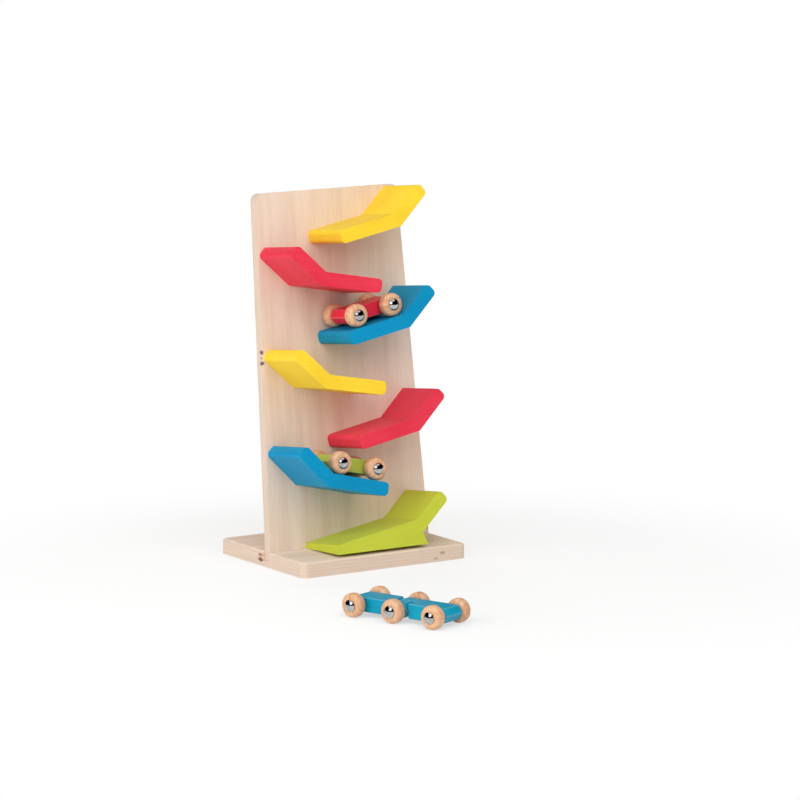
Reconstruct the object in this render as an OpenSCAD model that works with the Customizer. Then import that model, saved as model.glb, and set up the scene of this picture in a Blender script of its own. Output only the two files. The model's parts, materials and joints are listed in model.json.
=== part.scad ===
// Click clack track: a board that leans back on a base, seven bent ramps in a
// zigzag, and three cars that run and tumble down them. The origin is the middle
// of the base's underside, X runs along the board, Y goes back and Z goes up.

/* [Base] */
// Width of the base, left to right
base_w = 166; // [156:1:190]
// Depth of the base, front to back
base_d = 136; // [126:1:170]
// Thickness of the base
base_t = 13; // [12:0.5:18]
// Radius of the base's upright corners
base_corner_r = 6; // [4:0.5:14]
// Radius of the base's rounded top edge
base_edge_r = 2.5; // [1:0.25:3.5]
// Depth of the groove that holds the board
groove_depth = 7; // [5:0.5:8]
// Distance from the base's front edge to the board's front face
board_setback = 56.5; // [55:0.5:70]

/* [Board] */
// Strip of base left bare at each end of the board
board_side_inset = 2; // [1:0.5:4]
// How far each side of the board draws in from foot to top
board_taper = 9.5; // [0:0.5:12]
// Height of the board along its own face
board_h = 306; // [300:1:340]
// Thickness of the board
board_t = 8.5; // [7.5:0.5:12]
// Radius of the board's top corners
board_corner_r = 6.5; // [3:0.5:10]
// Angle by which the board leans back
board_lean = 7; // [4:0.5:10]

/* [Ramps] */
// Depth of a ramp, from the board to its free edge
ramp_d = 52.5; // [51:0.5:56]
// Thickness of a ramp
ramp_t = 12; // [10:0.5:13]
// Length of a ramp's gentle slope
slope_len = 57; // [54:0.5:60]
// Length of a ramp's steep leg
leg_len = 36; // [32:0.5:38]
// Angle of the gentle slope
slope_tilt = 10.5; // [8:0.5:12]
// Angle between the gentle slope and the leg
bend_angle = 33; // [30:1:38]
// Extra tilt of the last ramp above the run-out
last_extra_tilt = 3; // [0:0.5:6]
// Radius of the rounded ends of a ramp
ramp_end_r = 4; // [2:0.5:4.5]
// Bare strip from a left ramp's leg to the edge of the board
left_margin = 2.5; // [1:0.5:6]
// Bare strip from a right ramp's leg to the edge of the board
right_margin = 5.5; // [1:0.5:8]
// Bare strip from the run-out's leg to the edge of the board
runout_margin = 12.5; // [4:0.5:14]
// Length of the run-out's slope
runout_len = 82; // [78:0.5:90]
// Length of the run-out's leg
runout_leg_len = 34.5; // [32:0.5:38]
// Angle of the run-out's slope
runout_tilt = 9.5; // [8:0.5:12]
// Angle by which the run-out's underside rises to its free edge
foot_relief = 3; // [0:0.25:5]
// Spread of the run-out's foot past its bend
foot_spread = 6; // [3:0.5:8]

/* [Wheels] */
// Diameter of a wheel
wheel_dia = 20; // [18:0.5:21]
// Width of a wheel
wheel_w = 10; // [8:0.5:10.5]
// Rounding of a wheel's rims
wheel_edge_r = 3.5; // [1:0.25:3.75]
// Diameter of an axle
axle_dia = 3; // [2.5:0.1:4]
// Diameter of a domed hub cap
cap_dia = 10; // [8:0.5:12]
// Height of a hub cap's dome
cap_dome_h = 2.6; // [1.5:0.1:3]

/* [Cars] */
// Distance between the two axles of a short car
axle_spacing = 36; // [34:0.5:38]
// Distance from the long car's middle axle to each of the others
long_spacing = 40; // [38:0.5:44]
// Width of a car's body
car_w = 22.5; // [20:0.5:24]
// Height of a car's body
car_h = 12.5; // [10:0.5:13.5]
// Reach of a car's nose past its axle
nose_reach = 8.75; // [7.5:0.25:9.5]
// Length of the sloped faces of a nose
nose_bevel = 4; // [2:0.25:4.5]
// Reach of a hinge arm past the middle axle
arm_reach = 9.5; // [8.5:0.25:10]
// Distance of the red car's upper axle from its ramp's bend
red_start = 5.5; // [5:0.25:10]
// Distance of the green car's upper axle from its ramp's bend
green_start = 10.5; // [6:0.25:14]
// Distance of the blue car's middle from the base's centre line, to the left
blue_left = 99.5; // [60:0.5:140]
// Distance of the blue car's middle in front of the base
blue_front = 184.5; // [140:0.5:220]
// Direction in which the blue car points
blue_heading = -70; // [-90:1:-45]

/* [Screws] */
// Diameter of a screw's shank
screw_dia = 3.2; // [2.8:0.1:4]
// Diameter of a screw's countersunk head
head_dia = 6.6; // [5.6:0.1:7.4]
// Length of the screws that hold the ramps
ramp_screw_len = 24; // [20:0.5:30]
// Length of the screws that hold the board
base_screw_len = 19; // [16:0.5:24]

/* [Hidden] */
$fn = 64;
// Overrun of every cut past the face it opens
cut = 1;
// Gap between the board and each wall of its groove
groove_play = 0.05;
// Gap round a screw in its hole, and of a cap on its axle
screw_play = 0.05;
// Gap of an axle in the car that holds it
axle_fit = 0.02;
// Running gap between an axle and a wheel or hinge arm that turns on it
run_gap = 0.06;
// Gap from a wheel to the car's side
wheel_side_play = 1.25;
// Gap from a wheel to its hub cap
cap_play = 0.3;
// Straight rim of a hub cap below its dome
cap_rim_h = 0.4;
// Length of axle inside a hub cap
cap_grip = 1.6;
// Gap from a car's wheels to the ramp under them
ride_gap = 0.3;
// Gap from a car's hub caps to the board beside them
board_gap = 0.5;
// Gap between the two halves of the car's hinge
lap_play = 0.3;
// Gap from a hinge arm's end to the shoulder that faces it
shoulder_play = 1;
// Width, depth and length of the cross in a screw's head
cross_w = 0.9;
cross_depth = 1.1;
cross_len = 4;
// Length of a screw's point
screw_point = 3;
// Room past the point of a screw
pilot_room = 1;
// Bare wood between a base screw's head and the underside
head_sink = 0.3;

// Height of each ramp's bend up the board, as a share of the board's height
bend_height_shares = [0.919, 0.774, 0.636, 0.489, 0.344, 0.2155, 0.0595];
// Places of the two screws along a ramp's slope and leg
slope_screw_share = 0.6;
leg_screw_share = 0.5;
// Places of the base screws along half the board's foot
base_screw_shares = [-0.7, 0, 0.7];

wheel_r = wheel_dia / 2;
axle_r = axle_dia / 2;
cap_r = cap_dia / 2;
screw_r = screw_dia / 2;
head_r = head_dia / 2;
head_h = head_r - screw_r;
board_foot_w = base_w - 2 * board_side_inset;
board_y = board_setback - base_d / 2;
ramp_count = len(bend_height_shares);
last_ramp = ramp_count - 2;
runout = ramp_count - 1;

wheel_mid = car_w / 2 + wheel_side_play + wheel_w / 2;
cap_seat = wheel_mid + wheel_w / 2 + cap_play;
axle_len = 2 * (cap_seat + cap_grip);
car_half_w = cap_seat + cap_rim_h + cap_dome_h;
car_depth = max(ramp_d / 2, car_half_w + board_gap);
shoulder = arm_reach + shoulder_play;
red_ramp = 2;
green_ramp = last_ramp;

pale_ply = "#E6CBA6";
ramp_yellow = "#F3D52F";
ramp_red = "#E8425A";
ramp_blue = "#0A93CC";
ramp_green = "#B9C837";
car_red = "#CF2238";
car_green = "#93B43A";
car_blue = "#1F9DBD";
beech = "#E6B78E";
steel = "#C8CACC";

ramp_nodes = [
    "ramp_1_yellow", "ramp_2_red", "ramp_3_blue", "ramp_4_yellow",
    "ramp_5_red", "ramp_6_blue", "ramp_7_green"
];
ramp_colours = [
    ramp_yellow, ramp_red, ramp_blue, ramp_yellow,
    ramp_red, ramp_blue, ramp_green
];

// Each axle: its car, its place in the row, and how far ahead of the car's middle it sits
axles = [
    ["red", "lead", -axle_spacing / 2],
    ["red", "tail", axle_spacing / 2],
    ["green", "lead", axle_spacing / 2],
    ["green", "tail", -axle_spacing / 2],
    ["blue", "lead", long_spacing],
    ["blue", "mid", 0],
    ["blue", "tail", -long_spacing]
];
sides = [["near", -1], ["far", 1]];

function axle_node(a) = str(a[0], "_", a[1], "_axle");
function wheel_node(a, side) = str(a[0], "_", a[1], "_wheel_", side[0]);

// Half the board's width at a height up its face
function board_half_w(height) = board_foot_w / 2 - board_taper * height / board_h;

// A point turned about the origin
function turned(p, angle) = [
    p.x * cos(angle) - p.y * sin(angle),
    p.x * sin(angle) + p.y * cos(angle)
];

// Ramps alternate: the leg stands on the right of even ones and on the left of odd ones
function ramp_side(k) = k % 2 == 0 ? 1 : -1;
function ramp_tilt(k) =
    k == runout ? runout_tilt : slope_tilt + (k == last_ramp ? last_extra_tilt : 0);
function leg_length(k) = k == runout ? runout_leg_len : leg_len;
function bend_height(k) = bend_height_shares[k] * board_h;

// Reach of a leg's tip past the bend
function leg_reach(k) =
    let (steep = ramp_tilt(k) + bend_angle)
    (leg_length(k) - ramp_end_r) * cos(steep) + (ramp_t - ramp_end_r) * sin(steep) + ramp_end_r;

function edge_margin(k) =
    k == runout ? runout_margin : ramp_side(k) > 0 ? right_margin : left_margin;

function bend_x(k) =
    ramp_side(k) * (board_half_w(bend_height(k)) - edge_margin(k) - leg_reach(k));

// A point of the ramp's own outline, where the slope runs along -X, on the board's face
function on_ramp(k, p) =
    let (q = turned(p, ramp_tilt(k)))
    [bend_x(k) + ramp_side(k) * q.x, bend_height(k) + q.y];

// Places of a ramp's two screws in its own outline
function screw_points(k) = [
    [-slope_screw_share * slope_len, -ramp_t / 2],
    turned([leg_screw_share * leg_length(k), -ramp_t / 2], bend_angle)
];

// The board's own frame: Y is zero on its front face, Z runs up the face from the base
module on_board() {
    translate([0, board_y, base_t])
        rotate([-board_lean, 0, 0])
            children();
}

// A flat outline on the board's face, carried out from the face by a depth
module out_of_board(depth) {
    rotate([90, 0, 0])
        linear_extrude(depth)
            children();
}

// A round bar that goes through the board's face, from one depth to another
module board_peg(p, from, to, r) {
    translate([p.x, from, p.y])
        rotate([-90, 0, 0])
            cylinder(h = to - from, r = r);
}

// The base's rim, from a corner's centre line outwards, with its top edge rounded
module base_rim_outline() {
    r = base_edge_r;
    square([base_corner_r - r, base_t]);
    square([base_corner_r, base_t - r]);
    translate([base_corner_r - r, base_t - r])
        circle(r);
}

// The base before any cut: a middle block, a rim along each side and a turned corner between
module base_blank() {
    inner_w = base_w - 2 * base_corner_r;
    inner_d = base_d - 2 * base_corner_r;
    translate([-inner_w / 2, -inner_d / 2, 0])
        cube([inner_w, inner_d, base_t]);
    for (turn = [0, 180])
        rotate([0, 0, turn]) {
            translate([inner_w / 2, inner_d / 2, 0])
                rotate([90, 0, 0])
                    linear_extrude(inner_d)
                        base_rim_outline();
            translate([-inner_w / 2, inner_d / 2, 0])
                rotate([90, 0, 90])
                    linear_extrude(inner_w)
                        base_rim_outline();
            translate([inner_w / 2, inner_d / 2, 0])
                rotate_extrude(angle = 90)
                    base_rim_outline();
            translate([-inner_w / 2, inner_d / 2, 0])
                rotate([0, 0, 90])
                    rotate_extrude(angle = 90)
                        base_rim_outline();
        }
}

// A countersunk screw that points along -Z, with its head's face at zero
module screw(length) {
    difference() {
        union() {
            translate([0, 0, -head_h])
                cylinder(h = head_h, r1 = screw_r, r2 = head_r);
            translate([0, 0, screw_point - length])
                cylinder(h = length - screw_point, r = screw_r);
            translate([0, 0, -length])
                cylinder(h = screw_point, r1 = screw_play, r2 = screw_r);
        }
        for (turn = [0, 90])
            rotate([0, 0, turn])
                translate([-cross_len / 2, -cross_w / 2, -cross_depth])
                    cube([cross_len, cross_w, cross_depth + cut]);
    }
}

// The hole that such a screw sits in, open at its head
module screw_hole(length) {
    translate([0, 0, -head_h])
        cylinder(h = head_h, r1 = screw_r + screw_play, r2 = head_r + screw_play);
    translate([0, 0, -length])
        cylinder(h = length, r = screw_r + screw_play);
    cylinder(h = cut, r = head_r + screw_play);
}

module each_ramp_screw() {
    for (k = [0 : ramp_count - 1], p = screw_points(k)) {
        place = on_ramp(k, p);
        translate([place.x, board_t, place.y])
            rotate([-90, 0, 0])
                children();
    }
}

module each_base_screw() {
    for (share = base_screw_shares)
        translate([share * board_foot_w / 2, board_y + board_t / 2 / cos(board_lean), head_sink])
            mirror([0, 0, 1])
                children();
}

module base_plate() {
    color(pale_ply)
        difference() {
            base_blank();
            on_board()
                translate([-base_w, -groove_play, -groove_depth])
                    cube([2 * base_w, board_t + 2 * groove_play, groove_depth + base_t]);
            each_base_screw()
                screw_hole(base_t);
        }
}

// The board's face: sides that draw in towards the top, and two round top corners
module board_outline() {
    side_angle = atan(board_taper / board_h);
    top_half = board_half_w(board_h);
    foot_half = board_half_w(-groove_depth);
    arc_x = top_half + board_corner_r * tan(side_angle) - board_corner_r / cos(side_angle);
    arc_z = board_h - board_corner_r;
    side_x = arc_x + board_corner_r * cos(side_angle);
    side_z = arc_z + board_corner_r * sin(side_angle);
    polygon([
        [-foot_half, -groove_depth], [foot_half, -groove_depth],
        [side_x, side_z], [arc_x, arc_z], [arc_x, board_h],
        [-arc_x, board_h], [-arc_x, arc_z], [-side_x, side_z]
    ]);
    for (x = [-arc_x, arc_x])
        translate([x, arc_z])
            circle(board_corner_r);
}

module back_board() {
    color(pale_ply)
        difference() {
            on_board()
                difference() {
                    translate([0, board_t, 0])
                        out_of_board(board_t)
                            board_outline();
                    each_ramp_screw()
                        screw_hole(board_t + cut);
                }
            each_base_screw()
                screw_hole(base_screw_len + pilot_room);
        }
}

// A bar below the X axis ends in two arcs; its corners step in to their centres
function end_points(length) =
    let (r = ramp_end_r)
    [
        [length - r, -ramp_t], [length - r, r - ramp_t], [length, r - ramp_t],
        [length, -r], [length - r, -r], [length - r, 0]
    ];

// The underside of the bend, where the slope and the leg meet
elbow = [ramp_t * tan(bend_angle / 2), -ramp_t];

// From the elbow round the tip of the leg
function leg_points(k) =
    concat([elbow], [for (p = end_points(leg_length(k))) turned(p, bend_angle)]);

module end_arcs(length) {
    for (y = [-ramp_end_r, ramp_end_r - ramp_t])
        translate([length - ramp_end_r, y])
            circle(ramp_end_r);
}

module ramp_outline(k) {
    slope_end = end_points(slope_len);
    slope_points = [for (i = [len(slope_end) - 1 : -1 : 0]) [-slope_end[i].x, slope_end[i].y]];
    polygon(concat([[0, 0]], slope_points, leg_points(k)));
    mirror([1, 0])
        end_arcs(slope_len);
    rotate(bend_angle)
        end_arcs(leg_length(k));
}

// The run-out is solid below its slope and spreads to a foot on the base
module runout_outline() {
    tilt = ramp_tilt(runout);
    deep = -bend_height(runout) - ramp_d * tan(board_lean) - cut;
    tip = turned([-runout_len, 0], tilt);
    heel = turned(elbow, tilt);
    foot_points = [[tip.x, deep], [heel.x + foot_spread, deep]];
    polygon(concat(
        [[0, 0], [-runout_len, 0]],
        [for (p = foot_points) turned(p, -tilt)],
        leg_points(runout)
    ));
    rotate(bend_angle)
        end_arcs(runout_leg_len);
}

module ramp_solid(k) {
    difference() {
        out_of_board(ramp_d)
            translate([bend_x(k), bend_height(k)])
                mirror([ramp_side(k) < 0 ? 1 : 0, 0])
                    rotate(ramp_tilt(k)) {
                        if (k == runout) runout_outline();
                        else ramp_outline(k);
                    }
        for (p = screw_points(k))
            board_peg(on_ramp(k, p), board_t - ramp_screw_len - pilot_room, cut, screw_r + screw_play);
    }
}

module ramp(k) {
    color(ramp_colours[k])
        on_board() {
            if (k == runout)
                difference() {
                    ramp_solid(k);
                    // The underside meets the base at the board and rises a little from there
                    rotate([board_lean - foot_relief, 0, 0])
                        translate([-base_w, -base_d, -base_t])
                            cube([2 * base_w, 2 * base_d, base_t]);
                }
            else ramp_solid(k);
        }
}

module ramp_screws() {
    color(steel)
        on_board()
            each_ramp_screw()
                screw(ramp_screw_len);
}

module base_screws() {
    color(steel)
        each_base_screw()
            screw(base_screw_len);
}

// A car on a ramp: its middle lies between its axles, wheels just above the slope
module on_slope(k, start) {
    middle = on_ramp(k, [-start - axle_spacing / 2, wheel_r + ride_gap]);
    on_board()
        translate([middle.x, -car_depth, middle.y])
            rotate([0, -ramp_side(k) * ramp_tilt(k), 0])
                children();
}

// A car's own frame: X along the car, Y across it, Z is zero at its axles
module in_car(car) {
    if (car == "red")
        on_slope(red_ramp, red_start)
            children();
    else if (car == "green")
        on_slope(green_ramp, green_start)
            children();
    else
        translate([-blue_left, -base_d / 2 - blue_front, wheel_r])
            rotate([0, 0, blue_heading])
                children();
}

// A block between two places along the car and two across it, with a sloped nose at either end
module car_block(from, to, near, far, from_bevel, to_bevel) {
    translate([0, far, 0])
        rotate([90, 0, 0])
            linear_extrude(far - near)
                polygon([
                    [from, 0], [from + from_bevel, -car_h / 2], [to - to_bevel, -car_h / 2],
                    [to, 0], [to - to_bevel, car_h / 2], [from + from_bevel, car_h / 2]
                ]);
}

module axle_bore(x, gap) {
    translate([x, 0, 0])
        rotate([90, 0, 0])
            cylinder(h = car_w + 2 * cut, r = axle_r + gap, center = true);
}

module short_car_body() {
    reach = axle_spacing / 2 + nose_reach;
    difference() {
        car_block(-reach, reach, -car_w / 2, car_w / 2, nose_bevel, nose_bevel);
        for (x = [-1, 1])
            axle_bore(x * axle_spacing / 2, axle_fit);
    }
}

// Half of the long car: a full-width block, and one arm that laps the other half's arm
module hinged_segment(ahead, mid_gap) {
    nose = long_spacing + nose_reach;
    mirror([ahead > 0 ? 0 : 1, 0, 0])
        mirror([0, ahead > 0 ? 0 : 1, 0])
            difference() {
                union() {
                    car_block(shoulder, nose, -car_w / 2, car_w / 2, 0, nose_bevel);
                    car_block(-arm_reach, shoulder, lap_play / 2, car_w / 2, nose_bevel, 0);
                }
                axle_bore(long_spacing, axle_fit);
                axle_bore(0, mid_gap);
            }
}

module axle() {
    rotate([90, 0, 0])
        cylinder(h = axle_len, r = axle_r, center = true);
}

module wheel() {
    bore = axle_r + run_gap;
    rotate([90, 0, 0])
        rotate_extrude() {
            translate([bore, -wheel_w / 2])
                square([wheel_r - wheel_edge_r - bore, wheel_w]);
            translate([bore, wheel_edge_r - wheel_w / 2])
                square([wheel_r - bore, wheel_w - 2 * wheel_edge_r]);
            for (y = [-1, 1])
                translate([wheel_r - wheel_edge_r, y * (wheel_w / 2 - wheel_edge_r)])
                    circle(wheel_edge_r);
        }
}

// A domed cap that stands on the XY plane, with the axle's end inside it
module hub_cap() {
    dome_r = (cap_r * cap_r + cap_dome_h * cap_dome_h) / (2 * cap_dome_h);
    rotate_extrude()
        difference() {
            union() {
                square([cap_r, cap_rim_h]);
                intersection() {
                    translate([0, cap_rim_h + cap_dome_h - dome_r])
                        circle(dome_r);
                    translate([0, cap_rim_h])
                        square([cap_r, cap_dome_h]);
                }
            }
            translate([-cut, -cut])
                square([axle_r + axle_fit + cut, cap_grip + axle_fit + cut]);
        }
}

module hub_caps(car, places) {
    color(steel)
        in_car(car)
            for (x = places, side = [-1, 1])
                translate([x, side * cap_seat, 0])
                    rotate([-side * 90, 0, 0])
                        hub_cap();
}

module red_car_body() {
    color(car_red)
        in_car("red")
            short_car_body();
}

module green_car_body() {
    color(car_green)
        in_car("green")
            short_car_body();
}

module blue_lead_segment() {
    color(car_blue)
        in_car("blue")
            hinged_segment(1, axle_fit);
}

module blue_tail_segment() {
    color(car_blue)
        in_car("blue")
            hinged_segment(-1, run_gap);
}

module car_axle(a) {
    color(steel)
        in_car(a[0])
            translate([a[2], 0, 0])
                axle();
}

module car_wheel(a, side) {
    color(beech)
        in_car(a[0])
            translate([a[2], side[1] * wheel_mid, 0])
                wheel();
}

base_plate();
back_board();
for (k = [0 : ramp_count - 1])
    ramp(k);
ramp_screws();
base_screws();
red_car_body();
green_car_body();
blue_lead_segment();
blue_tail_segment();
hub_caps("red", [-axle_spacing / 2, axle_spacing / 2]);  // red_hub_caps
hub_caps("green", [-axle_spacing / 2, axle_spacing / 2]);  // green_hub_caps
hub_caps("blue", [0, long_spacing]);  // blue_lead_hub_caps
hub_caps("blue", [-long_spacing]);  // blue_tail_hub_caps
for (a = axles)
    car_axle(a);
for (a = axles, side = sides)
    car_wheel(a, side);
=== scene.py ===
import json
import math

import bmesh
import bpy
from mathutils import Matrix, Vector

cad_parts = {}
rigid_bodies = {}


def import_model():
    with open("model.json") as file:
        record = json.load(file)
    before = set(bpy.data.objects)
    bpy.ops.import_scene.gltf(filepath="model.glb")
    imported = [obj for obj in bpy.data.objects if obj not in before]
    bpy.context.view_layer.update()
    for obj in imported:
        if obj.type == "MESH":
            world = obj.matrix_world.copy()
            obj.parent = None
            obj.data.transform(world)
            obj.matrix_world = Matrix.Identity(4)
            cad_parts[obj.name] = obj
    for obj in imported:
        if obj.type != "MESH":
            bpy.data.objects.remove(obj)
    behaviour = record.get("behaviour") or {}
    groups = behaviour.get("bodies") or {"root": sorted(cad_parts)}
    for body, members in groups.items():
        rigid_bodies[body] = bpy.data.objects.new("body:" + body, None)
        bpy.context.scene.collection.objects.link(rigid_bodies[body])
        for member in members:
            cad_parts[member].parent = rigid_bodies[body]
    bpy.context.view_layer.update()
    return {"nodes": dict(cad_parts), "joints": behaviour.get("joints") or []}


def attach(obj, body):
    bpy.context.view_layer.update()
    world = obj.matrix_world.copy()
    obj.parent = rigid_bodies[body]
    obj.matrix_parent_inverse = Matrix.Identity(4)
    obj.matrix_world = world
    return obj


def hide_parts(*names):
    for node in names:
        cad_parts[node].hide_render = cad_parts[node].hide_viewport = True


for leftover in list(bpy.data.objects):
    bpy.data.objects.remove(leftover)

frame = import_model()
nodes = frame["nodes"]
scene = bpy.context.scene
scene.view_settings.view_transform = "Standard"
jointPlace = {joint["name"]: Vector(joint["pos_m"]) for joint in frame["joints"] if "pos_m" in joint}
print("frame loaded:", len(nodes), "nodes")

mm = 0.001
noiseSpan = (0.3, 0.7)      # soft noise mostly keeps between these


def toLinear(hexColour):
    channels = [int(hexColour[i:i + 2], 16) / 255 for i in (1, 3, 5)]
    linear = [c / 12.92 if c <= 0.04045 else ((c + 0.055) / 1.055) ** 2.4 for c in channels]
    return (*linear, 1.0)


# adds one node: settings are its own properties, values are sockets to link or numbers to set
def addNode(tree, kind, settings=None, values=None, stops=None):
    node = tree.nodes.new(kind)
    for key, value in (settings or {}).items():
        setattr(node, key, value)
    for key, value in (values or {}).items():
        if isinstance(value, bpy.types.NodeSocket):
            tree.links.new(value, node.inputs[key])
        else:
            node.inputs[key].default_value = value
    if stops:
        band = node.color_ramp.elements
        while len(band) < len(stops):
            band.new(1.0)
        for element, (place, colour) in zip(band, stops):
            element.position = place
            element.color = toLinear(colour) if isinstance(colour, str) else (colour,) * 3 + (1.0,)
    return node


# an empty material with its shader; every pattern below is drawn in millimetres along the grain
def startMaterial(name, grain=None):
    material = bpy.data.materials.new(name)
    material.use_nodes = True
    tree = material.node_tree
    tree.nodes.clear()
    output = addNode(tree, "ShaderNodeOutputMaterial")
    shader = addNode(tree, "ShaderNodeBsdfPrincipled")
    tree.links.new(shader.outputs["BSDF"], output.inputs["Surface"])
    place = addNode(tree, "ShaderNodeTexCoord")
    turn = (grain or Matrix.Identity(3)).to_euler("XYZ")
    inMm = addNode(tree, "ShaderNodeMapping", {"vector_type": "POINT"},
                   {"Vector": place.outputs["Object"], "Rotation": turn, "Scale": (1 / mm,) * 3})
    return material, tree, shader, inMm.outputs["Vector"]


# soft noise whose spots have a given length, width and thickness in millimetres
def grainNoise(tree, coords, size, detail=3.0, roughness=0.55):
    stretched = addNode(tree, "ShaderNodeVectorMath", {"operation": "DIVIDE"}, {0: coords, 1: size})
    noise = addNode(tree, "ShaderNodeTexNoise", {"noise_dimensions": "3D"},
                    {"Vector": stretched.outputs["Vector"], "Scale": 1.0, "Detail": detail,
                     "Roughness": roughness})
    return noise.outputs["Fac"]


# Lacquered birch plywood, rotary cut and sanded: a quiet pinkish beige face with long soft streaks
# and a few short flecks; the edges show the veneers only as faint lines. Dark brown spots stand for a few
# knots, and also for painted shade at the board's bottom right and at the groove's open end on the base
ply = {
    "lightHex": "#ECD8C6",
    "darkHex": "#DDC3AE",
    "fleckHex": "#C7A78B",
    "edgeLightHex": "#E0CCBB",
    "edgeDarkHex": "#CFB6A0",
    "figure": (190.0, 15.0, 6.0),   # mm, broad bands of the veneer
    "streak": (46.0, 1.5, 1.5),     # mm, fine grain lines
    "fleck": (5.0, 0.55, 0.55),     # mm, real flecks are half as wide; drawn coarse enough to show
    "edgeStreak": (34.0, 34.0, 0.9),  # mm, the worn edge runs the veneers into each other
    "ragged": (1.5, 1.5, 0.8),      # mm, unevenness of a dark spot's rim
    "veneer": 1.45,                 # mm, thickness of one veneer
    "figureShare": 0.66, "streakShare": 0.34, "fleckShare": 0.3,
    "toneBand": (0.32, 0.66),       # tones of the noise that become the dark and the light hex
    "fleckBand": (0.64, 0.76),
    "wear": 1.5,                    # how far the worn edge drifts between its two tones
    "edgeAngle": (0.9, 0.5),        # share of the normal across the veneers, from face to edge
    "darkSpotRim": (1.25, 0.55),        # from clear wood to the middle of a dark spot, in half sizes
    # the two veneers of a pair, as places through the pair and shares of the light edge tone
    "veneerLines": [(0.0, 0.42), (0.08, 0.62), (0.42, 0.62), (0.55, 0.36), (0.95, 0.36)],
    "sheen": (0.44, 0.56),          # roughness
    "ior": 1.5,
    "bump": 0.05,                   # mm
    "bumpStrength": 0.35,
}


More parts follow.
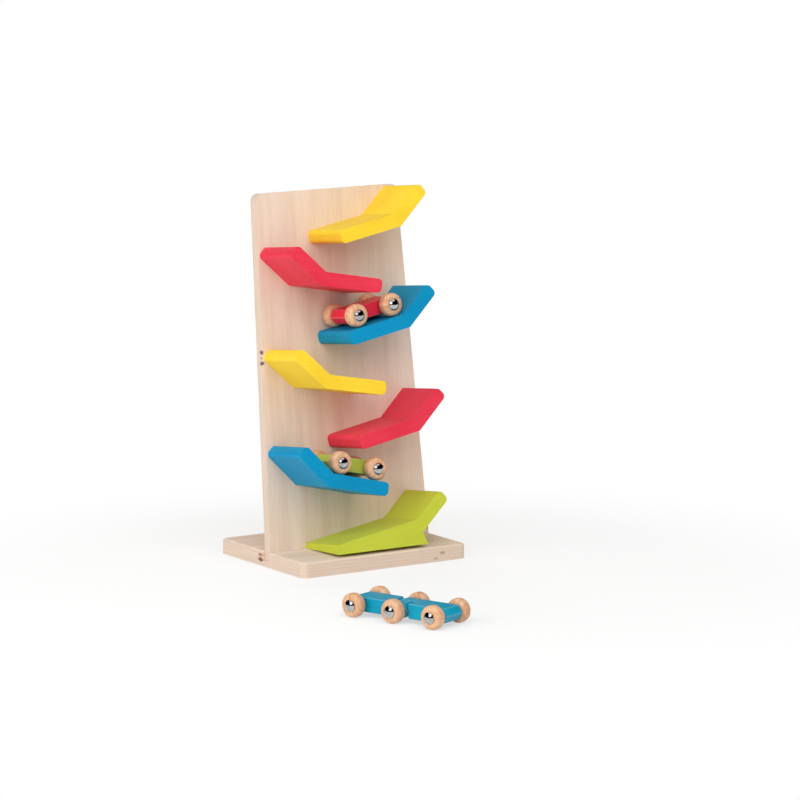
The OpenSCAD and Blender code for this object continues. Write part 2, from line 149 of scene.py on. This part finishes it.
def lacqueredBirchPly(name, grain, veneerStart, knotsAndShade):
    material, tree, shader, coords = startMaterial(name, grain)
    figure = grainNoise(tree, coords, ply["figure"], 2.0)
    streak = grainNoise(tree, coords, ply["streak"], 4.0)
    fleck = grainNoise(tree, coords, ply["fleck"], 1.0)
    fine = addNode(tree, "ShaderNodeMath", {"operation": "MULTIPLY"},
                   {0: streak, 1: ply["streakShare"]})
    tone = addNode(tree, "ShaderNodeMath", {"operation": "MULTIPLY_ADD"},
                   {0: figure, 1: ply["figureShare"], 2: fine.outputs[0]})
    face = addNode(tree, "ShaderNodeValToRGB", None, {"Fac": tone.outputs[0]},
                   [(ply["toneBand"][0], ply["darkHex"]), (ply["toneBand"][1], ply["lightHex"])])
    flecked = addNode(tree, "ShaderNodeValToRGB", None, {"Fac": fleck},
                      [(ply["fleckBand"][0], 0.0), (ply["fleckBand"][1], 1.0)])
    faint = addNode(tree, "ShaderNodeMath", {"operation": "MULTIPLY"},
                    {0: flecked.outputs["Color"], 1: ply["fleckShare"]})
    faceFlecked = addNode(tree, "ShaderNodeMix", {"data_type": "RGBA"},
                          {0: faint.outputs[0], 6: face.outputs["Color"], 7: toLinear(ply["fleckHex"])})
    # veneers: the thickness runs along the third axis of the grain's own frame
    depth = addNode(tree, "ShaderNodeSeparateXYZ", None, {0: coords})
    inPair = addNode(tree, "ShaderNodeMath", {"operation": "WRAP"},
                     {0: depth.outputs["Z"], 1: veneerStart + 2 * ply["veneer"], 2: veneerStart})
    share = addNode(tree, "ShaderNodeMapRange", None,
                    {0: inPair.outputs[0], 1: veneerStart, 2: veneerStart + 2 * ply["veneer"]})
    lines = addNode(tree, "ShaderNodeValToRGB", None, {"Fac": share.outputs[0]}, ply["veneerLines"])
    worn = addNode(tree, "ShaderNodeMath", {"operation": "MULTIPLY_ADD"},
                   {0: grainNoise(tree, coords, ply["edgeStreak"], 3.0), 1: ply["wear"],
                    2: -ply["wear"] / 2})
    edgeShare = addNode(tree, "ShaderNodeMath", {"operation": "ADD", "use_clamp": True},
                        {0: worn.outputs[0], 1: lines.outputs["Color"]})
    edgeTone = addNode(tree, "ShaderNodeMix", {"data_type": "RGBA"},
                       {0: edgeShare.outputs[0], 6: toLinear(ply["edgeDarkHex"]),
                        7: toLinear(ply["edgeLightHex"])})
    across = (grain or Matrix.Identity(3))[2]
    normal = addNode(tree, "ShaderNodeTexCoord").outputs["Normal"]
    facing = addNode(tree, "ShaderNodeVectorMath", {"operation": "DOT_PRODUCT"},
                     {0: normal, 1: tuple(across)})
    squarely = addNode(tree, "ShaderNodeMath", {"operation": "ABSOLUTE"}, {0: facing.outputs["Value"]})
    onEdge = addNode(tree, "ShaderNodeMapRange", None,
                     {0: squarely.outputs[0], 1: ply["edgeAngle"][0], 2: ply["edgeAngle"][1]})
    colour = addNode(tree, "ShaderNodeMix", {"data_type": "RGBA"},
                     {0: onEdge.outputs[0], 6: faceFlecked.outputs[2], 7: edgeTone.outputs[2]})
    result = colour.outputs[2]
    # dark spots: soft-edged lumps, each with its own half sizes in millimetres; some are knots and some are
    # painted shade
    ragged = addNode(tree, "ShaderNodeMath", {"operation": "MULTIPLY_ADD"},
                     {0: grainNoise(tree, coords, ply["ragged"], 2.0), 1: 1.0, 2: -0.5})
    for darkSpot in knotsAndShade:
        offset = addNode(tree, "ShaderNodeVectorMath", {"operation": "SUBTRACT"},
                         {0: coords, 1: darkSpot["place"]})
        scaled = addNode(tree, "ShaderNodeVectorMath", {"operation": "DIVIDE"},
                         {0: offset.outputs["Vector"], 1: darkSpot["half"]})
        away = addNode(tree, "ShaderNodeVectorMath", {"operation": "LENGTH"}, {0: scaled.outputs["Vector"]})
        rough = addNode(tree, "ShaderNodeMath", {"operation": "ADD"},
                        {0: away.outputs["Value"], 1: ragged.outputs[0]})
        dark = addNode(tree, "ShaderNodeMapRange", {"interpolation_type": "SMOOTHSTEP"},
                       {0: rough.outputs[0], 1: ply["darkSpotRim"][0], 2: ply["darkSpotRim"][1],
                        4: darkSpot["strength"]})
        spotted = addNode(tree, "ShaderNodeMix", {"data_type": "RGBA"},
                          {0: dark.outputs[0], 6: result, 7: toLinear(darkSpot["hex"])})
        result = spotted.outputs[2]
    tree.links.new(result, shader.inputs["Base Color"])
    sheen = addNode(tree, "ShaderNodeMapRange", None,
                    {0: streak, 1: noiseSpan[0], 2: noiseSpan[1], 3: ply["sheen"][0], 4: ply["sheen"][1]})
    tree.links.new(sheen.outputs[0], shader.inputs["Roughness"])
    height = addNode(tree, "ShaderNodeMath", {"operation": "SUBTRACT"},
                     {0: streak, 1: flecked.outputs["Color"]})
    bump = addNode(tree, "ShaderNodeBump", None,
                   {"Strength": ply["bumpStrength"], "Distance": ply["bump"] * mm,
                    "Height": height.outputs[0]})
    tree.links.new(bump.outputs["Normal"], shader.inputs["Normal"])
    shader.inputs["IOR"].default_value = ply["ior"]
    return material


# Solid hardwood under a thin satin paint: an even strong colour in which the grain still shows as
# faint streaks; the rounded edges get a painted highlight, a lighter copy of the colour
paint = {
    "cloud": (60.0, 34.0, 34.0),    # mm, uneven coat
    "streak": (24.0, 1.1, 1.1),     # mm, grain below the coat
    "peel": (0.9, 0.9, 0.9),        # mm, texture of the rolled coat, drawn coarse enough to show
    "toneBand": (0.3, 0.62),        # tones of the noise that become the deep and the bright hex
    "highlightHex": "#8F8F8F",           # painted highlight, screened over the colour on the rounded edges
    "sheenDrift": (-0.05, 0.06),    # roughness, about the piece's own
    "ior": 1.45, "gloss": 0.16,     # thin water paint, low gloss
    "bump": 0.04,                   # mm
    "bumpStrength": 0.3,
    # deep and bright colour of each finish
    "colours": {
        "ramp_yellow": ("#EBC02B", "#F5D236"),
        "ramp_red": ("#D72B42", "#E63D51"),
        "ramp_blue": ("#0081AF", "#0090BE"),
        "ramp_green": ("#B7C136", "#C3CB41"),
        "car_red": ("#D2243A", "#E03146"),
        "car_green": ("#AAB744", "#B8C352"),
        "car_blue": ("#0487A6", "#0F9AB8"),
    },
}


def satinPaintOnWood(name, slot, grain, edge, roughness):
    material, tree, shader, coords = startMaterial(name, grain)
    cloud = grainNoise(tree, coords, paint["cloud"], 2.0)
    streak = grainNoise(tree, coords, paint["streak"], 4.0)
    both = addNode(tree, "ShaderNodeMath", {"operation": "ADD"}, {0: cloud, 1: streak})
    tone = addNode(tree, "ShaderNodeMath", {"operation": "MULTIPLY"}, {0: both.outputs[0], 1: 0.5})
    deep, bright = paint["colours"][slot]
    colour = addNode(tree, "ShaderNodeValToRGB", None, {"Fac": tone.outputs[0]},
                     [(paint["toneBand"][0], deep), (paint["toneBand"][1], bright)])
    result = colour.outputs["Color"]
    # painted highlight: on the rounded edges a pale grey is screened over the colour
    if edge:
        lighter = addNode(tree, "ShaderNodeMix", {"data_type": "RGBA", "blend_type": "SCREEN"},
                          {0: edge, 6: result, 7: toLinear(paint["highlightHex"])})
        result = lighter.outputs[2]
    tree.links.new(result, shader.inputs["Base Color"])
    sheen = addNode(tree, "ShaderNodeMapRange", None,
                    {0: streak, 1: noiseSpan[0], 2: noiseSpan[1], 3: roughness + paint["sheenDrift"][0],
                     4: roughness + paint["sheenDrift"][1]})
    tree.links.new(sheen.outputs[0], shader.inputs["Roughness"])
    height = addNode(tree, "ShaderNodeMath", {"operation": "ADD"},
                     {0: streak, 1: grainNoise(tree, coords, paint["peel"], 1.0)})
    bump = addNode(tree, "ShaderNodeBump", None,
                   {"Strength": paint["bumpStrength"], "Distance": paint["bump"] * mm,
                    "Height": height.outputs[0]})
    tree.links.new(bump.outputs["Normal"], shader.inputs["Normal"])
    shader.inputs["IOR"].default_value = paint["ior"]
    shader.inputs["Specular IOR Level"].default_value = paint["gloss"]
    return material


# Turned beech, waxed: pinkish tan, straight grain across the wheel's face and the short dark
# rays that beech shows
beech = {
    "lightHex": "#E1B590",
    "midHex": "#D5A47D",
    "darkHex": "#BC8660",
    "ring": (70.0, 2.6, 70.0),      # mm, growth rings cut lengthwise
    "ray": (2.4, 0.42, 2.4),        # mm, drawn a little wide so that they show
    "toneBand": (0.3, 0.46, 0.66),  # tones of the noise that become the dark, mid and light hex
    "rayBand": (0.58, 0.7), "rayShare": 0.4,
    "sheen": (0.38, 0.5),           # roughness
    "ior": 1.5,
    "leanOfGrain": (0.45, 0.0, 0.9),  # the grain runs square to this and to the axle
    "bump": 0.04,                   # mm
    "bumpStrength": 0.3,
}


def turnedBeech(name, axle):
    grain = Vector(beech["leanOfGrain"]).cross(axle).normalized()
    side = axle.cross(grain)
    turn = Matrix((grain, side, axle))
    material, tree, shader, coords = startMaterial(name, turn)
    each = addNode(tree, "ShaderNodeObjectInfo")
    angle = addNode(tree, "ShaderNodeMath", {"operation": "MULTIPLY"},
                    {0: each.outputs["Random"], 1: math.tau})
    spin = addNode(tree, "ShaderNodeVectorRotate", {"rotation_type": "Z_AXIS"},
                   {"Vector": coords, "Angle": angle.outputs[0]})
    coords = spin.outputs["Vector"]
    ring = grainNoise(tree, coords, beech["ring"], 3.0)
    ray = grainNoise(tree, coords, beech["ray"], 1.0)
    tones = zip(beech["toneBand"], (beech["darkHex"], beech["midHex"], beech["lightHex"]))
    colour = addNode(tree, "ShaderNodeValToRGB", None, {"Fac": ring}, list(tones))
    rays = addNode(tree, "ShaderNodeValToRGB", None, {"Fac": ray}, list(zip(beech["rayBand"], (0.0, 1.0))))
    faint = addNode(tree, "ShaderNodeMath", {"operation": "MULTIPLY"},
                    {0: rays.outputs["Color"], 1: beech["rayShare"]})
    rayed = addNode(tree, "ShaderNodeMix", {"data_type": "RGBA"},
                    {0: faint.outputs[0], 6: colour.outputs["Color"], 7: toLinear(beech["darkHex"])})
    tree.links.new(rayed.outputs[2], shader.inputs["Base Color"])
    sheen = addNode(tree, "ShaderNodeMapRange", None,
                    {0: ring, 1: noiseSpan[0], 2: noiseSpan[1], 3: beech["sheen"][0], 4: beech["sheen"][1]})
    tree.links.new(sheen.outputs[0], shader.inputs["Roughness"])
    bump = addNode(tree, "ShaderNodeBump", None,
                   {"Strength": beech["bumpStrength"], "Distance": beech["bump"] * mm, "Height": ring})
    tree.links.new(bump.outputs["Normal"], shader.inputs["Normal"])
    shader.inputs["IOR"].default_value = beech["ior"]
    return material


# Metals: chrome plate on the pressed caps, drawn steel axles, dull zinc plate on the screws; each has
# its bright and dull colour, its least and greatest roughness, and the size of its blotches in mm
metals = {
    "polishedChromePlate": ("#C2C2C2", "#A6A6A7", 0.1, 0.16, (6.0, 6.0, 6.0)),
    "drawnSteelRod": ("#C3C5C8", "#A9ABAF", 0.24, 0.36, (14.0, 0.4, 0.4)),
    "zincPlatedSteel": ("#C6C3B4", "#A7A69C", 0.3, 0.46, (1.2, 1.2, 1.2)),
}
metalBand = (0.3, 0.65)     # tones of the noise that become the dull and the bright colour


def platedMetal(name):
    bright, dull, smooth, rough, size = metals[name]
    material, tree, shader, coords = startMaterial(name)
    blotch = grainNoise(tree, coords, size, 3.0)
    colour = addNode(tree, "ShaderNodeValToRGB", None, {"Fac": blotch},
                     [(metalBand[0], dull), (metalBand[1], bright)])
    tree.links.new(colour.outputs["Color"], shader.inputs["Base Color"])
    sheen = addNode(tree, "ShaderNodeMapRange", None,
                    {0: blotch, 1: noiseSpan[0], 2: noiseSpan[1], 3: rough, 4: smooth})
    tree.links.new(sheen.outputs[0], shader.inputs["Roughness"])
    shader.inputs["Metallic"].default_value = 1.0
    return material


softening = {
    "weld": 0.002,          # mm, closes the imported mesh, which is split at its sharp edges
    "angle": 28.0,          # degrees, sharper edges are rounded
    "segments": 3,
}


# sanded edges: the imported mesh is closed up, then its sharp edges get a small real round
def softenEdges(name, width, edgeMaterial=None):
    piece = nodes[name]
    weld = piece.modifiers.new("closeMesh", "WELD")
    weld.merge_threshold = softening["weld"] * mm
    bevel = piece.modifiers.new("sandedEdges", "BEVEL")
    bevel.width = width * mm
    bevel.segments = softening["segments"]
    bevel.limit_method = "ANGLE"
    bevel.angle_limit = math.radians(softening["angle"])
    bevel.use_clamp_overlap = True
    bevel.harden_normals = False
    # a second material on the rounds, which on the ramps carries a painted highlight
    if edgeMaterial:
        piece.data.materials.append(edgeMaterial)
        bevel.material = 1
    piece.modifiers.new("evenNormals", "WEIGHTED_NORMAL").keep_sharp = False


def setMaterial(name, material):
    piece = nodes[name]
    piece.data.materials.clear()
    piece.data.materials.append(material)


board = {
    "lean": 7.0,                # degrees
    "foot": (0.0, -11.5, 13.0),  # mm, foot of the board's front face
    "round": 1.4,               # mm, sanded edges
    "veneerStart": 0.2,         # mm
    # places are millimetres up the board, along it, and behind its face
    "knotsAndShade": [
        # three knots at the board's left edge
        {"place": (171.0, -75.8, 1.2), "half": (2.2, 2.4, 2.4), "strength": 0.95, "hex": "#6B3C26"},
        {"place": (166.0, -76.2, 0.2), "half": (1.4, 1.6, 3.0), "strength": 0.6, "hex": "#B98A68"},
        {"place": (161.5, -76.0, 1.0), "half": (2.0, 2.6, 2.4), "strength": 0.95, "hex": "#5E341F"},
        # painted shadow: this dark spot at the board's bottom right stands for the shade beside the green
        # run-out ramp
        {"place": (8.5, 79.6, 1.0), "half": (5.5, 2.6, 4.0), "strength": 0.75, "hex": "#8A5A45"},
    ],
}
base = {
    "round": 0.7,               # mm, at the groove and the underside; the top edge is round already
    "veneerStart": 0.0,
    "knotsAndShade": [
        # painted shade: two dark spots on the base's left side, with a lighter line between, stand for the
        # shaded open end of the groove
        {"place": (-83.0, 1.0, 9.4), "half": (4.0, 4.3, 1.6), "strength": 0.85, "hex": "#A2613F"},
        {"place": (-83.0, 1.0, 5.4), "half": (4.0, 4.3, 1.9), "strength": 0.95, "hex": "#743417"},
        # two knots on the base's front edge
        {"place": (57.8, -68.0, 7.3), "half": (2.9, 3.0, 1.4), "strength": 0.6, "hex": "#7F6553"},
        {"place": (51.3, -68.0, 3.1), "half": (2.4, 3.0, 1.1), "strength": 0.55, "hex": "#7F6553"},
    ],
}
lean = math.radians(board["lean"])
upBoard = Vector((0.0, math.sin(lean), math.cos(lean)))
outOfBoard = Vector((0.0, -math.cos(lean), math.sin(lean)))
boardGrain = Matrix((upBoard, Vector((1, 0, 0)), -outOfBoard))
boardFoot = boardGrain @ Vector(board["foot"])
boardKnotsAndShade = [dict(darkSpot, place=tuple(boardFoot + Vector(darkSpot["place"]))) for darkSpot in board["knotsAndShade"]]
setMaterial("back_board", lacqueredBirchPly("lacqueredBirchPlyBoard", boardGrain,
                                            board["veneerStart"], boardKnotsAndShade))
setMaterial("base_plate", lacqueredBirchPly("lacqueredBirchPlyBase", None,
                                            base["veneerStart"], base["knotsAndShade"]))
softenEdges("back_board", board["round"])
softenEdges("base_plate", base["round"])
print("plywood done")

ramps = {
    "edgeRound": 1.2,       # mm
    "edgeHighlight": 0.3,       # share of the painted highlight on the rounded edges
    "roughness": 0.44, "edgeGloss": 0.08,
    "tilt": 10.5,           # degrees
}
for name in sorted(nodes):
    if name.startswith("ramp_") and name != "ramp_screws":
        slot = "ramp_" + name.split("_")[2]
        side = 1 if int(name.split("_")[1]) % 2 else -1
        tilt = math.radians(ramps["tilt"]) * side
        along = Vector((math.cos(tilt), 0, 0)) + upBoard * math.sin(tilt)
        grain = Matrix((along, outOfBoard, along.cross(outOfBoard)))
        satin = satinPaintOnWood("satinPaint_" + name, slot, grain, 0.0, ramps["roughness"])
        # a lighter copy of the paint gives the rounded edges a painted highlight
        highlightedEdgePaint = satinPaintOnWood("edgeHighlightPaint_" + name, slot, grain, ramps["edgeHighlight"],
                                ramps["roughness"] - ramps["edgeGloss"])
        setMaterial(name, satin)
        softenEdges(name, ramps["edgeRound"], highlightedEdgePaint)
print("ramps done")

# painted car bodies, redrawn with clean faces so that their edges take a smooth sanded round
cars = {
    "width": 22.5, "height": 12.5,      # mm
    "noseReach": 8.75, "noseBevel": 4.0,
    "armReach": 9.5, "shoulderGap": 1.0, "lapGap": 0.3,
    "bore": 1.56, "boreSides": 32,
    "edgeRound": 0.9, "edgeSegments": 3,
    # edgeHighlight is the share of the painted highlight on the rounded edges
    "edgeHighlight": 0.2,
    "roughness": 0.36, "edgeGloss": 0.06,
    "sharpAngle": 40.0,                 # degrees
    # piece, the node that it stands for, the body that it rides on, its finish and its car
    "short": [("redCarBody", "red_car_body", "red_car", "car_red", "red"),
              ("greenCarBody", "green_car_body", "green_car", "car_green", "green")],
    # piece, node, body, and which way along the car it points
    "long": [("blueLeadSegment", "blue_lead_segment", "blue_car", 1),
             ("blueTailSegment", "blue_tail_segment", "blue_car_tail", -1)],
}


# a car's own frame, from the places of its wheels: along the car, across it and up
def carPlace(car):
    lead, tail = [jointPlace[f"{car}_{row}_wheel_near_spin"] for row in ("lead", "tail")]
    farLead = jointPlace[f"{car}_lead_wheel_far_spin"]
    along = (lead - tail).normalized()
    across = (farLead - lead).normalized()
    middle = (farLead + tail) / 2
    axes = Matrix((along, across, along.cross(across))).transposed()
    return Matrix.Translation(middle) @ axes.to_4x4(), (lead - tail).length / mm


# outline of a body's side, from its back tip round to its nose
def sideOutline(back, front):
    bevel, h = cars["noseBevel"], cars["height"] / 2
    return [(back, 0), (back + bevel, -h), (front - bevel, -h),
            (front, 0), (front - bevel, h), (back + bevel, h)]


def shortCarFaces(spacing):
    reach, w = spacing / 2 + cars["noseReach"], cars["width"] / 2
    side = sideOutline(-reach, reach)
    faces = [[(x, y, z) for x, z in side] for y in (-w, w)]
    for (x0, z0), (x1, z1) in zip(side, side[1:] + side[:1]):
        faces.append([(x0, -w, z0), (x1, -w, z1), (x1, w, z1), (x0, w, z0)])
    return faces


# half of the long car: a full-width block ahead of the shoulder, and an arm on the far side behind it
def hingedFaces(spacing):
    w, h, bevel, lap = cars["width"] / 2, cars["height"] / 2, cars["noseBevel"], cars["lapGap"] / 2
    tip, shoulder = -cars["armReach"], cars["armReach"] + cars["shoulderGap"]
    nose = spacing / 2 + cars["noseReach"]
    far = sideOutline(tip, nose)
    near = [(shoulder, -h)] + far[2:5] + [(shoulder, h)]
    arm = far[:2] + [(shoulder, -h), (shoulder, h)] + far[5:]
    plan = [(tip + bevel, lap), (shoulder, lap), (shoulder, -w), (nose - bevel, -w), (nose - bevel, w),
            (tip + bevel, w)]
    faces = [[(x, w, z) for x, z in far], [(x, -w, z) for x, z in near], [(x, lap, z) for x, z in arm]]
    faces.append([(shoulder, y, z) for y, z in ((-w, -h), (lap, -h), (lap, h), (-w, h))])
    for z in (-h, h):
        faces.append([(x, y, z) for x, y in plan])
        faces.append([(nose, -w, 0), (nose, w, 0), (nose - bevel, w, z), (nose - bevel, -w, z)])
        faces.append([(tip, lap, 0), (tip, w, 0), (tip + bevel, w, z), (tip + bevel, lap, z)])
    return faces


# a closed mesh from faces in millimetres, with sanded edges and its axle holes drilled through
def carBody(name, faces, place, axles, materials):
    body = bmesh.new()
    corners = {}
    for face in faces:
        for point in face:
            if point not in corners:
                corners[point] = body.verts.new(Vector(point) * mm)
        body.faces.new([corners[point] for point in face])
    bmesh.ops.recalc_face_normals(body, faces=body.faces)
    # the rounds take the second material, the one with the painted highlight
    bmesh.ops.bevel(body, geom=body.edges[:], offset=cars["edgeRound"] * mm,
                    segments=cars["edgeSegments"], profile=0.5, affect="EDGES", clamp_overlap=True,
                    material=1)
    drill = bmesh.new()
    for x in axles:
        turn = Matrix.Translation((x * mm, 0, 0)) @ Matrix.Rotation(math.pi / 2, 4, "X")
        bmesh.ops.create_cone(drill, cap_ends=True, segments=cars["boreSides"], radius1=cars["bore"] * mm,
                              radius2=cars["bore"] * mm, depth=2 * cars["width"] * mm, matrix=turn)
    made = []
    for shape, label in ((body, name), (drill, name + "Drill")):
        shape.transform(place)
        mesh = bpy.data.meshes.new(label)
        shape.to_mesh(mesh)
        shape.free()
        made.append(bpy.data.objects.new(label, mesh))
        scene.collection.objects.link(made[-1])
    piece, bit = made
    for material in materials:
        piece.data.materials.append(material)
    cutting = piece.modifiers.new("axleHoles", "BOOLEAN")
    cutting.operation = "DIFFERENCE"
    cutting.solver = "EXACT"
    cutting.object = bit
    drilled = bpy.data.meshes.new_from_object(piece.evaluated_get(bpy.context.evaluated_depsgraph_get()))
    piece.modifiers.clear()
    piece.data = drilled
    bpy.data.objects.remove(bit)
    drilled.shade_smooth()
    drilled.set_sharp_from_angle(angle=math.radians(cars["sharpAngle"]))
    piece.modifiers.new("evenNormals", "WEIGHTED_NORMAL").keep_sharp = True
    return piece


def carPaints(name, slot, place):
    # the second paint carries the painted highlight for the rounded edges
    grain, rough = place.to_3x3().transposed(), cars["roughness"]
    return [satinPaintOnWood("satinPaint_" + name, slot, grain, 0.0, rough),
            satinPaintOnWood("edgeHighlightPaint_" + name, slot, grain, cars["edgeHighlight"],
                             rough - cars["edgeGloss"])]


for name, node, body, slot, car in cars["short"]:
    place, spacing = carPlace(car)
    piece = carBody(name, shortCarFaces(spacing), place, (-spacing / 2, spacing / 2),
                    carPaints(name, slot, place))
    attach(piece, body)
    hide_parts(node)
bluePlace, blueSpacing = carPlace("blue")
for name, node, body, ahead in cars["long"]:
    place = bluePlace @ Matrix.Rotation(0 if ahead > 0 else math.pi, 4, "Z")
    piece = carBody(name, hingedFaces(blueSpacing), place, (0, blueSpacing / 2),
                    carPaints(name, "car_blue", place))
    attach(piece, body)
    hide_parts(node)
blueAxle = bluePlace.to_3x3().col[1].copy()
print("car bodies done")

rampBeech = turnedBeech("turnedBeechRampCars", -outOfBoard)
blueBeech = turnedBeech("turnedBeechLongCar", blueAxle)
chrome, steel, zinc = [platedMetal(name) for name in metals]
for name in sorted(nodes):
    if "_wheel_" in name:
        setMaterial(name, blueBeech if name.startswith("blue") else rampBeech)
    elif name.endswith("hub_caps"):
        setMaterial(name, chrome)
    elif name.endswith("_axle"):
        setMaterial(name, steel)
    elif name.endswith("_screws"):
        setMaterial(name, zinc)
print("wheels, caps, axles and screws done")

# studio: pale floor that runs into white, soft lamps, and a black flag all round that only gloss sees
studio = {
    "floorHex": "#F2F2F1",
    "floorSize": 8.0, "floorDrop": 0.0002,  # m, just below the toy
    "nearWhite": 0.58,              # share of plain white in the floor beside the toy
    "middle": (-0.03, -0.12, 0.0),  # m, between the tower and the long car
    "fadeFrom": 0.24, "fadeTo": 0.5,  # m from there, where the floor turns all white
    "worldLight": 0.5,
    # place in m, size in m, power in W, and whether gloss mirrors the lamp
    "lamps": [
        ("keySoftbox", (-1.0, -0.85, 1.05), 1.0, 7.0, True),
        ("leftSoftbox", (-1.6, -0.2, 0.55), 1.0, 9.0, False),
        ("frontSoftbox", (-0.15, -1.2, 1.25), 1.2, 9.6, False),
        ("backSoftbox", (0.4, 1.5, 1.0), 1.2, 7.5, False),
    ],
    "aim": (0.0, -0.03, 0.14),      # m, where the lamps point
    "flag": {"radius": 3.2, "low": 0.2, "high": 5.0, "hex": "#0C0C0D", "sides": 48},
}


# one where a surface is looked at by the camera, or by gloss or glass, and nought for plain light
def lookedAt(tree):
    seen = addNode(tree, "ShaderNodeLightPath")
    glossOrGlass = addNode(tree, "ShaderNodeMath", {"operation": "MAXIMUM"},
                           {0: seen.outputs["Is Glossy Ray"], 1: seen.outputs["Is Transmission Ray"]})
    looked = addNode(tree, "ShaderNodeMath", {"operation": "MAXIMUM"},
                     {0: seen.outputs["Is Camera Ray"], 1: glossOrGlass.outputs[0]})
    return looked.outputs[0]


floorMesh = bpy.data.meshes.new("floor")
half = studio["floorSize"] / 2
floorMesh.from_pydata([(-half, -half, 0), (half, -half, 0), (half, half, 0), (-half, half, 0)], [],
                      [(0, 1, 2, 3)])
floor = bpy.data.objects.new("floor", floorMesh)
floor.location.z = -studio["floorDrop"]
scene.collection.objects.link(floor)

# matt painted floor: near the toy it takes the soft shadow, further off it is plain white
floorPaint = bpy.data.materials.new("mattPaintedFloor")
floorPaint.use_nodes = True
tree = floorPaint.node_tree
tree.nodes.clear()
output = addNode(tree, "ShaderNodeOutputMaterial")
matt = addNode(tree, "ShaderNodeBsdfDiffuse", None, {"Color": toLinear(studio["floorHex"])})
white = addNode(tree, "ShaderNodeEmission", None, {"Color": (1, 1, 1, 1), "Strength": 1.0})
place = addNode(tree, "ShaderNodeTexCoord")
offset = addNode(tree, "ShaderNodeVectorMath", {"operation": "SUBTRACT"},
                 {0: place.outputs["Object"], 1: studio["middle"]})
away = addNode(tree, "ShaderNodeVectorMath", {"operation": "LENGTH"}, {0: offset.outputs["Vector"]})
fade = addNode(tree, "ShaderNodeMapRange", {"interpolation_type": "SMOOTHSTEP"},
               {0: away.outputs["Value"], 1: studio["fadeFrom"], 2: studio["fadeTo"],
                3: studio["nearWhite"]})
share = addNode(tree, "ShaderNodeMath", {"operation": "MULTIPLY"}, {0: fade.outputs[0], 1: lookedAt(tree)})
mixed = addNode(tree, "ShaderNodeMixShader", None,
                {0: share.outputs[0], 1: matt.outputs[0], 2: white.outputs[0]})
tree.links.new(mixed.outputs[0], output.inputs["Surface"])
floorMesh.materials.append(floorPaint)

# black cloth flag: metal needs something dark to mirror, so it shows in reflections alone
flag = studio["flag"]
flagMesh = bpy.data.meshes.new("blackFlag")
turns = [math.tau * i / flag["sides"] for i in range(flag["sides"])]
rims = [(flag["radius"] * math.cos(turn), flag["radius"] * math.sin(turn), z)
        for z in (flag["low"], flag["high"]) for turn in turns]
panels = [(i, (i + 1) % flag["sides"], flag["sides"] + (i + 1) % flag["sides"], flag["sides"] + i)
          for i in range(flag["sides"])]
flagMesh.from_pydata(rims, [], panels)
blackFlag = bpy.data.objects.new("blackFlag", flagMesh)
scene.collection.objects.link(blackFlag)
blackFlag.visible_camera = False
blackFlag.visible_diffuse = False
blackFlag.visible_shadow = False
blackFlag.visible_transmission = False
cloth = bpy.data.materials.new("blackFlagCloth")
cloth.use_nodes = True
cloth.node_tree.nodes.clear()
output = addNode(cloth.node_tree, "ShaderNodeOutputMaterial")
black = addNode(cloth.node_tree, "ShaderNodeBsdfDiffuse", None, {"Color": toLinear(flag["hex"])})
cloth.node_tree.links.new(black.outputs[0], output.inputs["Surface"])
flagMesh.materials.append(cloth)

world = bpy.data.worlds.new("whiteStudio")
world.use_nodes = True
scene.world = world
tree = world.node_tree
tree.nodes.clear()
output = addNode(tree, "ShaderNodeOutputWorld")
strength = addNode(tree, "ShaderNodeMapRange", None, {0: lookedAt(tree), 3: studio["worldLight"], 4: 1.0})
air = addNode(tree, "ShaderNodeBackground", None,
              {"Color": (1, 1, 1, 1), "Strength": strength.outputs[0]})
tree.links.new(air.outputs[0], output.inputs["Surface"])

for name, place, size, power, mirrored in studio["lamps"]:
    lamp = bpy.data.lights.new(name, "AREA")
    lamp.shape = "SQUARE"
    lamp.size = size
    lamp.energy = power
    holder = bpy.data.objects.new(name, lamp)
    holder.visible_glossy = mirrored
    holder.location = place
    holder.rotation_euler = (Vector(studio["aim"]) - Vector(place)).to_track_quat("-Z", "Y").to_euler()
    scene.collection.objects.link(holder)
print("studio done")

camera = {
    "azimuth": -33.0, "elevation": 9.4,     # degrees
    "distance": 4.034,                      # m
    "focal": 4700.0,                        # pixels, in a frame 800 pixels wide
    "frame": 800.0, "sensor": 36.0,         # pixels, mm
    "lookAt": (0.0, -0.0115, 0.15),         # m, this point falls on the pixel below
    "pixel": (350.0, 386.0),
    "clipEnd": 50.0,                        # m
}
a, e = math.radians(camera["azimuth"]), math.radians(camera["elevation"])
back = Vector((math.sin(a) * math.cos(e), -math.cos(a) * math.cos(e), math.sin(e)))
right = Vector((math.cos(a), math.sin(a), 0))
up = back.cross(right)
perPixel = camera["distance"] / camera["focal"]
target = (Vector(camera["lookAt"])
          + right * (camera["frame"] / 2 - camera["pixel"][0]) * perPixel
          - up * (camera["frame"] / 2 - camera["pixel"][1]) * perPixel)
lens = bpy.data.cameras.new("studioCamera")
lens.sensor_width = camera["sensor"]
lens.lens = camera["focal"] / camera["frame"] * camera["sensor"]
lens.clip_end = camera["clipEnd"]
viewer = bpy.data.objects.new("studioCamera", lens)
viewer.location = target + back * camera["distance"]
viewer.rotation_euler = (-back).to_track_quat("-Z", "Y").to_euler()
scene.collection.objects.link(viewer)
scene.camera = viewer
print("camera done")
